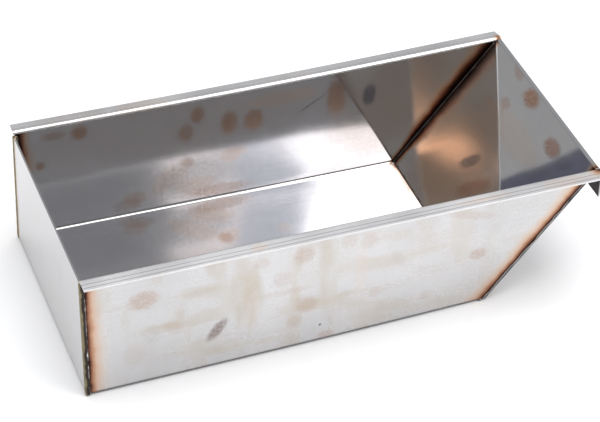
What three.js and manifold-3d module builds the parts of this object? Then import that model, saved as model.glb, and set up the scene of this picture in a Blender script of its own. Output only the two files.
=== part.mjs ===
// A welded stainless mud pan: one sheet, cut as a cross, folded up and welded at its corners.
// Each panel between two folds is a solid of its own, and so is each run of weld.
// Millimetres. +X runs from the upright end to the sloped end, +Y from front to back, +Z up.
// The origin is the middle of the bounding box, at the level that the pan stands on.
import * as THREE from 'three';
import Module from 'manifold-3d';
import { mergeVertices } from 'three/addons/utils/BufferGeometryUtils.js';

// Driving dimensions
const SHEET = 1.2; // thickness of the stainless sheet
const GAP = 0.3; // clearance left between neighbouring solids
const PAN_HEIGHT = 93.3; // underside of the floor to the top of the flanges
const UPRIGHT_HEIGHT = 90; // the upright end stops just below the flanges
const TOP_LENGTH = 355; // outer face of the upright end to the outer face of the lip
const FLOOR_LENGTH = 278; // outer face of the upright end to the fold at the sloped end
const RIM_WIDTH = 160; // over the outer faces of the two long walls, at the rim
const FLOOR_SPREAD = 4.5; // how far each long wall stands out at the foot of the upright end
const FRONT_FLANGE = 10; // width of the front flange, from the outer face of its wall
const BACK_FLANGE = 8;
const FLANGE_FOLD = 1; // inside radius of the folds under the flanges
const LIP_HEIGHT = 21.5; // top of the rim to the free edge of the lip
const LIP_FOLD = 3; // outside radius of the rolled rim over the sloped end
const LIP_OVERHANG = 2.5; // how far the lip runs on past each long wall, below the flanges
const LIP_CLEARANCE = 3.5; // the ends of the lip start this far below the top of the flanges
const BEAD_RADIUS = 2.4; // corner welds
const BEAD_PROUD = 0.7; // how far a corner weld stands out of the faces that it joins
const BEAD_SETBACK = 2; // the edges at a welded corner stop this far short of the corner
const RIM_WELD = 1.6; // width of the weld between a flange and the rolled rim
const RELIEF_RADIUS = 1.7; // round relief hole at each corner of the floor

// Worked out from them
const upright = -(TOP_LENGTH + BEAD_PROUD) / 2 + BEAD_PROUD; // outer face of the upright end
const lipFace = upright + TOP_LENGTH; // outer face of the lip
const floorFold = upright + FLOOR_LENGTH; // foot of the sloped end, on its underside
const totalWidth = FRONT_FLANGE + RIM_WIDTH + BACK_FLANGE;
const frontFace = -totalWidth / 2 + FRONT_FLANGE; // outer faces of the long walls at the rim
const backFace = totalWidth / 2 - BACK_FLANGE;
const lipInside = LIP_FOLD - SHEET;
const rimX = lipFace - LIP_FOLD; // centre of the rolled rim
const rimZ = PAN_HEIGHT - LIP_FOLD;
const slope = slopeAngle(); // of the sloped end, from the horizontal
const rimStart = Math.PI / 2 + slope; // angle at which the rolled rim leaves the sloped end
const flangeFoldZ = PAN_HEIGHT - SHEET - FLANGE_FOLD; // centre of the folds under the flanges
const wallTop = flangeFoldZ - GAP;

const STEEL = { color: 0xc9cbd0, roughness: 0.28, metalness: 1 };
const BEAD = { color: 0x6b5b50, roughness: 0.5, metalness: 1 };
const Y_SIDES = [
  { name: 'front', out: -1, face: frontFace, flange: FRONT_FLANGE },
  { name: 'back', out: 1, face: backFace, flange: BACK_FLANGE },
];
const ARC_STEPS = 12;

const wasm = await Module();
wasm.setup();
const pan = new THREE.Group();

// The underside of the sloped end starts at the fold in the floor and touches the inner arc of the rim.
function slopeAngle() {
  const run = rimX - floorFold;
  const reach = Math.hypot(run, rimZ);
  return Math.atan2(rimZ, run) + Math.asin(lipInside / reach);
}

// The long walls lean outward towards the foot of the upright end.
function spread(x, z) {
  const along = Math.min(Math.max((x - upright) / FLOOR_LENGTH, 0), 1);
  return FLOOR_SPREAD * (1 - along) * (1 - z / PAN_HEIGHT);
}

// A point of a long wall, a given depth inside its outer face.
function onWall(side, x, z, depth = 0) {
  return new THREE.Vector3(x, side.face + side.out * (spread(x, z) - depth), z);
}

// The x of the sloped end at a height, a given depth inside its underside.
function slopeX(z, depth) {
  return floorFold + z / Math.tan(slope) - depth / Math.sin(slope);
}

function add(name, geometry, finish) {
  const mesh = new THREE.Mesh(geometry, new THREE.MeshStandardMaterial(finish));
  mesh.name = name;
  pan.add(mesh);
  return mesh;
}

// A flat or slightly twisted plate between two matching rings of four points.
function plate(ring, opposite) {
  const corners = [...ring, ...opposite];
  const faces = [0, 2, 1, 0, 3, 2, 4, 5, 6, 4, 6, 7];
  for (let i = 0; i < 4; i += 1) {
    const next = (i + 1) % 4;
    faces.push(i, next, next + 4, i, next + 4, i + 4);
  }
  const across = opposite[0].clone().sub(ring[0]);
  const turn = ring[1].clone().sub(ring[0]).cross(ring[3].clone().sub(ring[0]));
  if (across.dot(turn) < 0) faces.reverse();
  const geometry = new THREE.BufferGeometry().setFromPoints(corners);
  geometry.setIndex(faces);
  return geometry;
}

function solidOf(geometry) {
  const bare = geometry.clone();
  bare.deleteAttribute('normal');
  bare.deleteAttribute('uv');
  const merged = mergeVertices(bare);
  const vertProperties = new Float32Array(merged.attributes.position.array);
  const triVerts = new Uint32Array(merged.index.array);
  return new wasm.Manifold(new wasm.Mesh({ numProp: 3, vertProperties, triVerts }));
}

function cut(geometry, tools) {
  let solid = solidOf(geometry);
  for (const tool of tools) solid = solid.subtract(solidOf(tool));
  const mesh = solid.getMesh();
  const result = new THREE.BufferGeometry();
  result.setAttribute('position', new THREE.BufferAttribute(mesh.vertProperties, 3));
  result.setIndex(new THREE.BufferAttribute(mesh.triVerts, 1));
  return result;
}

function extrude(shape, depth) {
  return new THREE.ExtrudeGeometry(shape, { depth, bevelEnabled: false, curveSegments: ARC_STEPS });
}

// Turns an extrusion so that its section's axes lie along two directions, and places its origin.
function lay(geometry, sectionX, sectionY, origin) {
  const along = new THREE.Vector3().crossVectors(sectionX, sectionY);
  const basis = new THREE.Matrix4().makeBasis(sectionX, sectionY, along);
  return geometry.applyMatrix4(basis.setPosition(origin));
}

const X = new THREE.Vector3(1, 0, 0);
const Z = new THREE.Vector3(0, 0, 1);

// The round relief holes lie just inside the corners of the floor.
function reliefCentres() {
  const inset = SHEET + RELIEF_RADIUS + 2 * GAP;
  const centres = [];
  for (const side of Y_SIDES) {
    const uprightX = upright + inset;
    const slopeFoot = floorFold - SHEET - inset;
    centres.push({ side, end: 'upright', at: onWall(side, uprightX, 0, inset) });
    centres.push({ side, end: 'sloped', at: onWall(side, slopeFoot, 0, inset) });
  }
  return centres;
}

function disc(radius, height, at) {
  const geometry = new THREE.CylinderGeometry(radius, radius, height, 20);
  geometry.rotateX(Math.PI / 2);
  return geometry.translate(at.x, at.y, height / 2);
}

function floorPanel() {
  const inset = SHEET + GAP;
  const nearX = upright + inset;
  const farX = slopeX(0, SHEET) - GAP;
  const [front, back] = Y_SIDES;
  const below = [
    onWall(front, nearX, 0, inset), onWall(front, farX, 0, inset),
    onWall(back, farX, 0, inset), onWall(back, nearX, 0, inset),
  ];
  const above = below.map((p) => p.clone().setZ(SHEET));
  const holes = reliefCentres().map(({ at }) => disc(RELIEF_RADIUS, 4 * SHEET, at.clone()).translate(0, 0, -SHEET));
  add('floor_panel', cut(plate(below, above), holes), STEEL);
}

function longWall(side) {
  const outline = [
    [upright + BEAD_SETBACK, 0], [slopeX(0, BEAD_SETBACK), 0],
    [slopeX(wallTop, BEAD_SETBACK), wallTop], [upright + BEAD_SETBACK, wallTop],
  ];
  const outer = outline.map(([x, z]) => onWall(side, x, z));
  const inner = outline.map(([x, z]) => onWall(side, x, z, SHEET));
  add(`${side.name}_wall`, plate(outer, inner), STEEL);
}

function uprightEnd() {
  const [front, back] = Y_SIDES;
  const outer = [
    onWall(front, upright, 0, BEAD_SETBACK), onWall(back, upright, 0, BEAD_SETBACK),
    onWall(back, upright, UPRIGHT_HEIGHT, BEAD_SETBACK), onWall(front, upright, UPRIGHT_HEIGHT, BEAD_SETBACK),
  ];
  const inner = outer.map((p) => p.clone().setX(upright + SHEET));
  add('upright_end', plate(outer, inner), STEEL);
}

function slopedEnd() {
  const length = Math.hypot(rimX - floorFold, rimZ) - GAP;
  const top = Math.sqrt(length * length - lipInside * lipInside);
  const rise = new THREE.Vector3(Math.cos(slope), 0, Math.sin(slope));
  const inward = new THREE.Vector3(-Math.sin(slope), 0, Math.cos(slope));
  const nearY = frontFace + BEAD_SETBACK;
  const farY = backFace - BEAD_SETBACK;
  const under = [
    new THREE.Vector3(floorFold, nearY, 0), new THREE.Vector3(floorFold, farY, 0),
    new THREE.Vector3(floorFold, farY, 0).addScaledVector(rise, top - GAP),
    new THREE.Vector3(floorFold, nearY, 0).addScaledVector(rise, top - GAP),
  ];
  const upper = under.map((p) => p.clone().addScaledVector(inward, SHEET));
  upper[0].set(slopeX(0, SHEET), nearY, 0);
  upper[1].set(slopeX(0, SHEET), farY, 0);
  add('sloped_end', plate(under, upper), STEEL);
}

// A quarter-round fold out of the top of a long wall, and the flat flange beyond it.
function flange(side) {
  const outer = FLANGE_FOLD + SHEET;
  const shape = new THREE.Shape();
  shape.moveTo(-SHEET, flangeFoldZ);
  shape.absarc(FLANGE_FOLD, flangeFoldZ, outer, Math.PI, Math.PI / 2, true);
  shape.lineTo(side.flange, PAN_HEIGHT);
  shape.lineTo(side.flange, PAN_HEIGHT - SHEET);
  shape.absarc(FLANGE_FOLD, flangeFoldZ, FLANGE_FOLD, Math.PI / 2, Math.PI, false);
  shape.closePath();
  const outward = new THREE.Vector3(0, side.out, 0);
  const start = side.out > 0 ? upright : lipFace;
  const origin = new THREE.Vector3(start, side.face, 0);
  add(`${side.name}_flange`, lay(extrude(shape, TOP_LENGTH), outward, Z, origin), STEEL);
}

// The sheet rolls over the top of the sloped end and hangs down as a lip.
function endLip() {
  const shape = new THREE.Shape();
  shape.absarc(rimX, rimZ, LIP_FOLD, rimStart, 0, true);
  shape.lineTo(lipFace, PAN_HEIGHT - LIP_HEIGHT);
  shape.lineTo(lipFace - SHEET, PAN_HEIGHT - LIP_HEIGHT);
  shape.absarc(rimX, rimZ, lipInside, 0, rimStart, false);
  shape.closePath();
  const start = new THREE.Vector3(0, backFace + LIP_OVERHANG, 0);
  const length = RIM_WIDTH + 2 * LIP_OVERHANG;
  const notchLength = LIP_OVERHANG + SHEET + RIM_WELD + 2 * GAP;
  const notches = Y_SIDES.map((side) => {
    const box = new THREE.BoxGeometry(4 * LIP_FOLD, 2 * notchLength, 2 * LIP_FOLD);
    const middleZ = PAN_HEIGHT - LIP_CLEARANCE + LIP_FOLD;
    return box.translate(rimX, side.face + side.out * LIP_OVERHANG, middleZ);
  });
  add('rolled_lip', cut(lay(extrude(shape, length), X, Z, start), notches), STEEL);
}

// The weld between the end of a flange's fold and the rolled rim.
function rimWeld(side) {
  const shape = new THREE.Shape();
  shape.absarc(rimX, rimZ, LIP_FOLD, rimStart, 0, true);
  shape.absarc(rimX, rimZ, lipInside, 0, rimStart, false);
  shape.closePath();
  const inner = side.face - side.out * (SHEET + GAP);
  const start = side.out > 0 ? inner : inner + RIM_WELD;
  const origin = new THREE.Vector3(0, start, 0);
  add(`rim_weld_${side.name}`, lay(extrude(shape, RIM_WELD), X, Z, origin), BEAD);
}

// A quarter-round bead that fills the open corner between two faces, along the line from foot to head.
function cornerBead(name, foot, head, outwardA, outwardB) {
  const depth = BEAD_RADIUS - BEAD_PROUD;
  const shape = new THREE.Shape();
  shape.moveTo(-depth, -depth);
  shape.absarc(-depth, -depth, BEAD_RADIUS, 0, Math.PI / 2, false);
  shape.closePath();
  const along = head.clone().sub(foot).normalize();
  const sectionX = outwardA.clone().addScaledVector(along, -outwardA.dot(along)).normalize();
  const sectionY = new THREE.Vector3().crossVectors(along, sectionX);
  const mirrored = sectionY.dot(outwardB) < 0;
  if (mirrored) sectionY.negate();
  add(name, lay(extrude(shape, foot.distanceTo(head)), sectionX, sectionY, mirrored ? head : foot), BEAD);
}

function uprightBead(side) {
  const foot = onWall(side, upright, GAP);
  const head = onWall(side, upright, UPRIGHT_HEIGHT);
  const outward = new THREE.Vector3(0, side.out, 0);
  cornerBead(`upright_weld_${side.name}`, foot, head, new THREE.Vector3(-1, 0, 0), outward);
}

function slopeBead(side) {
  const footZ = BEAD_PROUD;
  const headZ = UPRIGHT_HEIGHT - GAP;
  const foot = new THREE.Vector3(slopeX(footZ, 0), side.face, footZ);
  const head = new THREE.Vector3(slopeX(headZ, 0), side.face, headZ);
  const underside = new THREE.Vector3(Math.sin(slope), 0, -Math.cos(slope));
  cornerBead(`slope_weld_${side.name}`, foot, head, underside, new THREE.Vector3(0, side.out, 0));
}

function reliefSpots() {
  for (const { side, end, at } of reliefCentres()) {
    add(`corner_spot_${side.name}_${end}`, disc(RELIEF_RADIUS - GAP, SHEET + GAP, at), BEAD);
  }
}

floorPanel();
uprightEnd();
slopedEnd();
endLip();
for (const side of Y_SIDES) {
  longWall(side);
  flange(side);
  rimWeld(side);
  uprightBead(side);
  slopeBead(side);
}
reliefSpots();

export default pan;
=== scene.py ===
# %% [markdown]
# # A welded stainless mud pan
# This lesson builds the finished look of a long open pan that is folded from one thin stainless sheet and
# welded at its corners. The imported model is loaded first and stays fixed. The places of its faces and folds
# are read from it, so the fine pieces land where the plain ones are.

import math

import bmesh
import bpy
from mathutils import Matrix, Vector, noise


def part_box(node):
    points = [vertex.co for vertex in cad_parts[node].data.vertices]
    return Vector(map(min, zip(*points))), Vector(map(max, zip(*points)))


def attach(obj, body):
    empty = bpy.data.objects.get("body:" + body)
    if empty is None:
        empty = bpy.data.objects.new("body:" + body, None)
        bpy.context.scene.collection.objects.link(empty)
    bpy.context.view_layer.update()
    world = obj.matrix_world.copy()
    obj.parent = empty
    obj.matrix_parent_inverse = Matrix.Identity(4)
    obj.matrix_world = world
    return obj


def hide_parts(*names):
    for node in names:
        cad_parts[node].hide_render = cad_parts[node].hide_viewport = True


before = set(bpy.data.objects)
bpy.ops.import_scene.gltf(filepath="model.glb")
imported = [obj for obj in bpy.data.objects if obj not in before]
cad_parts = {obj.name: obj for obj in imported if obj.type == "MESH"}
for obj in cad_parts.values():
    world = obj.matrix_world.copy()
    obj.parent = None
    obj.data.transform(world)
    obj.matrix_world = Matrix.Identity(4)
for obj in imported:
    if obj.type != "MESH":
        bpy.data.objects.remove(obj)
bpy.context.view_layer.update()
MM = 0.001

# %% [markdown]
# ## Reading the sizes
# A maker would lay the pan on a bench and read off its faces and folds. Here the boxes of the plain pieces
# give the same things: the outer face of the upright end, the outer faces of the long walls, the rim's
# height and the face of the hanging lip. Typing them in again would be quicker, but they would go stale if
# the plain model changed.

# %% Faces, folds and the angle of the sloped end
upright_lo, upright_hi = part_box("upright_end")
flange_lo, flange_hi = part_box("front_flange")
SHEET = upright_hi[0] - upright_lo[0]
UPRIGHT_X = upright_lo[0]
UPRIGHT_TOP = upright_hi[2]
RIM_Z = flange_hi[2]
FRONT_Y = flange_hi[1] - SHEET
BACK_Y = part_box("back_flange")[0][1] + SHEET
LIP_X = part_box("rolled_lip")[1][0]
LIP_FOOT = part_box("rolled_lip")[0][2]
MIDDLE_Y = (FRONT_Y + BACK_Y) / 2
FRONT_FLANGE = FRONT_Y - flange_lo[1]
BACK_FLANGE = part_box("back_flange")[1][1] - BACK_Y

FOLD = 3.3 * MM          # outside radius of the folds along the floor's long sides
END_FOLD = 2.0 * MM      # outside radius of the folds at the floor's two ends
FLANGE_FOLD = 0.7 * MM   # inside radius of the folds under the flanges
RIM_ROLL = 2.1 * MM      # outside radius of the rolled rim
BEAD_SETBACK = 1.2 * MM  # the sheet's edges stop this far short of a welded corner

WALL_TOP = RIM_Z - SHEET - FLANGE_FOLD
rim_x = LIP_X - RIM_ROLL
rim_roll_z = RIM_Z - RIM_ROLL


def sloped_end_line():
    """The angle of the sloped end and the x of its fold, from where its lowest edge and the rim are."""
    inner_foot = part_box("sloped_end")[0][0]
    angle = math.radians(50)
    for _ in range(20):
        fold_x = inner_foot + SHEET / math.sin(angle)
        run = rim_x - fold_x
        inside = RIM_ROLL - SHEET
        angle = math.atan2(rim_roll_z, run) + math.asin(inside / math.hypot(run, rim_roll_z))
    return angle, fold_x


SLOPE, FOLD_X = sloped_end_line()
RISE = Vector((math.cos(SLOPE), 0, math.sin(SLOPE)))
UNDERSIDE = Vector((math.sin(SLOPE), 0, -math.cos(SLOPE)))
print("sheet", round(SHEET / MM, 2), "mm, sloped end at", round(math.degrees(SLOPE), 1), "degrees")

# %% [markdown]
# ## How hand folding leaves the sheet
# A pan folded by hand is never quite square. The long walls stand out a little at the foot of the upright
# end, the back rim is pulled inward at its middle, and the flats ripple by a few hundredths of a
# millimetre, which is what makes reflections swim. One function moves every vertex of every piece, so
# neighbours stay joined. The other way, shaping each piece on its own, would open gaps at the folds.

# %% One shared bend for all the pieces
SPREAD = (FRONT_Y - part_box("front_wall")[0][1]) * 1.007
BACK_RIM_PULL = 2.0 * MM
FRONT_FOOT_PUSH = 0.8 * MM
RIPPLE = 0.07 * MM
HALF_FLOOR = (BACK_Y - FRONT_Y) / 2 - FOLD


def clamp(value, low=0.0, high=1.0):
    return max(low, min(high, value))


def settle(co):
    """Where a point of the square pan lies on the hand-folded pan."""
    side = clamp((co.y - MIDDLE_Y) / HALF_FLOOR, -1, 1)
    height = clamp(co.z / WALL_TOP)
    along_floor = clamp((co.x - UPRIGHT_X) / (FOLD_X - UPRIGHT_X))
    full_length = (FOLD_X - UPRIGHT_X) * (1 - height) + (LIP_X - UPRIGHT_X) * height
    arch = math.sin(math.pi * clamp((co.x - UPRIGHT_X) / full_length))
    y = co.y + side * SPREAD * (1 - along_floor) * (1 - height)
    y -= BACK_RIM_PULL * arch * height * max(side, 0)
    y -= FRONT_FOOT_PUSH * arch * (1 - height) * max(-side, 0)
    return Vector((co.x, y, co.z))


def ripple(bm):
    """Moves each point of a sheet a little along its normal, less near the sheet's edges."""
    for vert in bm.verts:
        low = noise.noise(vert.co * 14)
        fine = noise.noise(vert.co * 37 + Vector((5, 1, 9)))
        free = 0.0 if vert.is_boundary else 1.0
        vert.co += vert.normal * RIPPLE * (low + 0.35 * fine) * free


# %% [markdown]
# ## Turning a bmesh into a finished piece
# Every piece ends the same way: its vertices are settled, its faces point outwards, it rides on the one
# body and stands for its plain piece. Sheet pieces are drawn as their outer skin, and a Solidify modifier
# gives them the sheet's thickness, so that both skins stay exactly parallel. A small Bevel takes the razor
# edge off the cuts.

# %% Helpers that finish a piece
MERGE = 0.02 * MM  # points nearer than this are one point
EASE = 0.10 * MM   # how much a file takes off a cut edge


def new_piece(name, bm, node, material, creases=40):
    bmesh.ops.remove_doubles(bm, verts=bm.verts, dist=MERGE)
    square_place = bm.verts.layers.float_vector.new("square_place")
    for vert in bm.verts:
        vert[square_place] = vert.co / MM
        vert.co = settle(vert.co)
    bm.normal_update()
    for face in bm.faces:
        face.smooth = True
    for edge in bm.edges:
        edge.smooth = len(edge.link_faces) < 2 or edge.calc_face_angle(0) < math.radians(creases)
    mesh = bpy.data.meshes.new(name)
    bm.to_mesh(mesh)
    bm.free()
    piece = bpy.data.objects.new(name, mesh)
    bpy.context.scene.collection.objects.link(piece)
    mesh.materials.append(material)
    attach(piece, "root")
    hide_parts(node)
    print("made", name, "with", len(mesh.polygons), "faces")
    return piece


def thicken(piece):
    """Gives a skin the sheet's thickness on its inner side, and eases the cut edges."""
    shell = piece.modifiers.new("sheet", "SOLIDIFY")
    shell.thickness = SHEET
    shell.offset = -1
    shell.use_even_offset = True
    ease = piece.modifiers.new("eased cuts", "BEVEL")
    ease.width = EASE
    ease.segments = 2
    ease.limit_method = "ANGLE"
    ease.angle_limit = math.radians(60)
    ease.harden_normals = True
    flat = piece.modifiers.new("true flats", "WEIGHTED_NORMAL")
    flat.keep_sharp = True


def face_outwards(bm, outward):
    """Turns an open skin so that it faces along a direction."""
    bm.normal_update()
    total = sum((face.normal * face.calc_area() for face in bm.faces), Vector())
    if total.dot(outward) < 0:
        bmesh.ops.reverse_faces(bm, faces=bm.faces)


def skin(columns, rows, place):
    """A grid of cells, each corner placed by a function of its two fractions."""
    bm = bmesh.new()
    bmesh.ops.create_grid(bm, x_segments=columns, y_segments=rows, size=0.5)
    for vert in bm.verts:
        vert.co = place(vert.co.x + 0.5, vert.co.y + 0.5)
    return bm


def edges_where(bm, test):
    return [edge for edge in bm.edges if all(test(vert.co) for vert in edge.verts)]


def roll(bm, edges, centre, axis, angle, steps=8):
    """Rolls a row of edges round an axis, as a folding bar does."""
    bmesh.ops.spin(bm, geom=edges, cent=centre, axis=axis, angle=angle, steps=steps, use_duplicate=False)


def runs_along(edge, step):
    """True for an edge that lies nearer to a vector than across it."""
    lies = (edge.verts[0].co - edge.verts[1].co).normalized()
    return abs(lies.dot(step.normalized())) >= 0.5


def pull(bm, edges, step, times=1):
    """Extrudes a row of edges along a vector, in equal steps."""
    for _ in range(times):
        made = bmesh.ops.extrude_edge_only(bm, edges=edges)["geom"]
        bmesh.ops.translate(bm, vec=step, verts=[v for v in made if isinstance(v, bmesh.types.BMVert)])
        edges = [item for item in made if isinstance(item, bmesh.types.BMEdge)]
        edges = [edge for edge in edges if len(edge.link_faces) == 1 and not runs_along(edge, step)]


# %% [markdown]
# ## Small tools for shader graphs
# A material is a graph, and a graph written out socket by socket is hard to read. These helpers add a node
# with its settings, join sockets, and do one sum, so that the cells below can say what a finish is made of.

# %% Helpers for nodes
def add_node(tree, kind, **settings):
    node = tree.nodes.new(kind)
    for key, value in settings.items():
        setattr(node, key, value)
    return node


def feed(tree, value, socket):
    """Joins an output to a socket, or sets the socket to a plain value."""
    if isinstance(value, bpy.types.NodeSocket):
        tree.links.new(value, socket)
    else:
        socket.default_value = value


def sums(tree, operation, *values, clamp_it=False):
    node = add_node(tree, "ShaderNodeMath", operation=operation, use_clamp=clamp_it)
    for value, socket in zip(values, node.inputs):
        feed(tree, value, socket)
    return node.outputs[0]


def vector_sums(tree, operation, first, second=None, scale=None):
    node = add_node(tree, "ShaderNodeVectorMath", operation=operation)
    feed(tree, first, node.inputs[0])
    if second is not None:
        feed(tree, second, node.inputs[1])
    if scale is not None:
        feed(tree, scale, node.inputs["Scale"])
    return node.outputs["Value" if operation in ("DOT_PRODUCT", "LENGTH", "DISTANCE") else "Vector"]


def mix_colour(tree, factor, first, second, blend="MIX"):
    node = add_node(tree, "ShaderNodeMix", data_type="RGBA", blend_type=blend)
    feed(tree, factor, node.inputs[0])
    feed(tree, first, node.inputs[6])
    feed(tree, second, node.inputs[7])
    return node.outputs[2]


def remap(tree, value, low, high, new_low=0.0, new_high=1.0, smooth=True):
    node = add_node(tree, "ShaderNodeMapRange", clamp=True)
    node.interpolation_type = "SMOOTHSTEP" if smooth else "LINEAR"
    for item, socket in zip((value, low, high, new_low, new_high), node.inputs):
        feed(tree, item, socket)
    return node.outputs[0]


def grain_noise(tree, vector, scale, detail=2.0, rough=0.5):
    node = add_node(tree, "ShaderNodeTexNoise")
    feed(tree, vector, node.inputs["Vector"])
    node.inputs["Scale"].default_value = scale
    node.inputs["Detail"].default_value = detail
    node.inputs["Roughness"].default_value = rough
    return node.outputs["Fac"]


def ramp(tree, factor, stops):
    node = add_node(tree, "ShaderNodeValToRGB")
    elements = node.color_ramp.elements
    while len(elements) < len(stops):
        elements.new(0.5)
    for element, (position, colour) in zip(elements, stops):
        element.position = position
        element.color = (*colour, 1)
    feed(tree, factor, node.inputs[0])
    return node.outputs["Color"]


def group(name, inputs, outputs):
    """A shader node group with named sockets, and its input and output sockets."""
    tree = bpy.data.node_groups.new(name, "ShaderNodeTree")
    for label, kind, value in inputs:
        socket = tree.interface.new_socket(label, in_out="INPUT", socket_type=kind)
        socket.default_value = value
    for label, kind in outputs:
        tree.interface.new_socket(label, in_out="OUTPUT", socket_type=kind)
    entry = tree.nodes.new("NodeGroupInput")
    leave = tree.nodes.new("NodeGroupOutput")
    print("node group:", name)
    return tree, entry.outputs, leave.inputs


def place_group(tree, node_group, **values):
    node = add_node(tree, "ShaderNodeGroup", node_tree=node_group)
    for label, value in values.items():
        feed(tree, value, node.inputs[label.replace("_", " ")])
    return node.outputs


FLOAT, VECTOR, COLOUR = "NodeSocketFloat", "NodeSocketVector", "NodeSocketColor"

# %% [markdown]
# ## Rolling grain
# Mill-finished stainless has faint straight streaks from the rolls, a cloudy unevenness a few centimetres
# across, and tiny pits. An image would do this too, but noise stretched along one direction needs no
# picture and never repeats. The group takes a position in millimetres, and puts out a shade, a roughness
# change and a height.

# %% The rolling grain group
def make_grain():
    tree, given, out = group(
        "rolling grain",
        [("Place mm", VECTOR, (0, 0, 0))],
        [("Shade", FLOAT), ("Rough", FLOAT), ("Height", FLOAT)])
    place = given["Place mm"]
    long_lines = grain_noise(tree, vector_sums(tree, "MULTIPLY", place, (0.012, 0.9, 0.9)), 1.0, 4, 0.6)
    cross_lines = grain_noise(tree, vector_sums(tree, "MULTIPLY", place, (0.35, 0.01, 0.01)), 1.0, 3, 0.5)
    clouds = grain_noise(tree, place, 0.021, 3, 0.55)
    pits = grain_noise(tree, place, 1.1, 2, 0.5)
    lines = sums(tree, "ADD", sums(tree, "MULTIPLY", long_lines, 0.7),
                 sums(tree, "MULTIPLY", cross_lines, 0.3))
    shade = sums(tree, "ADD", sums(tree, "MULTIPLY", lines, 0.5), sums(tree, "MULTIPLY", clouds, 0.5))
    feed(tree, shade, out["Shade"])
    rough = sums(tree, "ADD", sums(tree, "MULTIPLY", lines, 0.6), sums(tree, "MULTIPLY", clouds, 0.4))
    feed(tree, rough, out["Rough"])
    feed(tree, sums(tree, "ADD", lines, sums(tree, "MULTIPLY", pits, 0.12)), out["Height"])
    return tree


GRAIN = make_grain()

# %% [markdown]
# ## Heat tint
# Beside a weld the steel takes colours in bands: almost black at the bead, then violet brown, orange brown
# and straw, gone within a centimetre or so. The bands follow the distance from the seam, so it takes that
# distance and puts out a colour and how strongly it covers the steel. Noise on the distance makes the bands
# wander.

# %% The heat tint group
TINT_REACH = 12.0  # millimetres from the seam to the last trace of straw


def make_tint():
    tree, given, out = group(
        "heat tint",
        [("Distance mm", FLOAT, 100), ("Place mm", VECTOR, (0, 0, 0)), ("Reach", FLOAT, 1),
         ("Burn", FLOAT, 1), ("Strength", FLOAT, 1)],
        [("Colour", COLOUR), ("Mask", FLOAT)])
    wander = grain_noise(tree, given["Place mm"], 0.16, 3, 0.6)
    patches = grain_noise(tree, given["Place mm"], 0.045, 2, 0.5)
    push = sums(tree, "MULTIPLY", sums(tree, "SUBTRACT", wander, 0.5), 2.4)
    spread = sums(tree, "ADD", 0.5, patches)
    reach = sums(tree, "MULTIPLY", sums(tree, "MULTIPLY", given["Reach"], spread), TINT_REACH)
    wandering = sums(tree, "MAXIMUM", sums(tree, "ADD", given["Distance mm"], push), 0.0)
    near = sums(tree, "DIVIDE", wandering, reach, clamp_it=True)
    burnt = sums(tree, "POWER", near, given["Burn"])
    colour = ramp(tree, burnt, [(0.0, (0.011, 0.005, 0.005)), (0.09, (0.030, 0.011, 0.010)),
                                (0.17, (0.13, 0.055, 0.035)), (0.27, (0.40, 0.20, 0.12)),
                                (0.42, (0.60, 0.42, 0.31)), (0.70, (0.62, 0.52, 0.44)),
                                (1.0, (0.66, 0.61, 0.57))])
    feed(tree, colour, out["Colour"])
    fade = remap(tree, burnt, 0.30, 1.0, 1.0, 0.0)
    feed(tree, sums(tree, "MULTIPLY", fade, given["Strength"], clamp_it=True), out["Mask"])
    return tree


TINT = make_tint()

# %% [markdown]
# ## Finger marks
# Handling leaves oval prints that go brown where the sheet was warm. Each one is a soft oval with a ragged
# edge and fine ridges. One group makes a print from a place, a size and a turn, and a material adds up as
# many as it needs, which is easier to steer than scattered noise because a print can be put just where a
# thumb would hold the pan.
# The same group also draws broad soft patches of painted reflection on the mirror-like inner skins.

# %% The finger mark group
def make_print():
    tree, given, out = group(
        "finger mark",
        [("Spot mm", VECTOR, (0, 0, 0)), ("Centre", VECTOR, (0, 0, 0)), ("Half size", VECTOR, (6, 8, 1)),
         ("Turn", FLOAT, 0), ("Strength", FLOAT, 1)],
        [("Mask", FLOAT)])
    local = vector_sums(tree, "SUBTRACT", given["Spot mm"], given["Centre"])
    turned = add_node(tree, "ShaderNodeVectorRotate", rotation_type="Z_AXIS")
    feed(tree, local, turned.inputs["Vector"])
    feed(tree, given["Turn"], turned.inputs["Angle"])
    oval = vector_sums(tree, "DIVIDE", turned.outputs[0], given["Half size"])
    ragged = grain_noise(tree, given["Spot mm"], 0.33, 3, 0.6)
    distance = sums(tree, "ADD", vector_sums(tree, "LENGTH", oval),
                    sums(tree, "MULTIPLY", sums(tree, "SUBTRACT", ragged, 0.5), 0.5))
    worn = grain_noise(tree, given["Spot mm"], 0.55, 3, 0.65)
    blot = sums(tree, "MULTIPLY", remap(tree, distance, 0.50, 1.15, 1.0, 0.0),
                remap(tree, worn, 0.30, 0.62, 0.5, 1.0))
    ridges = add_node(tree, "ShaderNodeTexWave", wave_type="RINGS", rings_direction="SPHERICAL")
    feed(tree, turned.outputs[0], ridges.inputs["Vector"])
    ridges.inputs["Scale"].default_value = 0.28
    ridges.inputs["Distortion"].default_value = 3.5
    ridges.inputs["Detail"].default_value = 1.0
    lines = sums(tree, "ADD", 0.6, sums(tree, "MULTIPLY", ridges.outputs["Fac"], 0.55))
    feed(tree, sums(tree, "MULTIPLY", sums(tree, "MULTIPLY", blot, lines), given["Strength"]), out["Mask"])
    return tree


PRINT = make_print()

# %% [markdown]
# ## Scratches
# Sliding a pan over a bench leaves hair scratches in a few directions. Noise that is stretched a
# hundredfold and cut off near its top gives short, thin, slightly wandering lines. Two turns of it are
# enough.

# %% The scratch group
SCRATCH_RUNS = ((0.5, (0.02, 1.3, 1)), (-1.1, (0.03, 1.1, 1)))  # a turn, and how the noise is stretched


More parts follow.
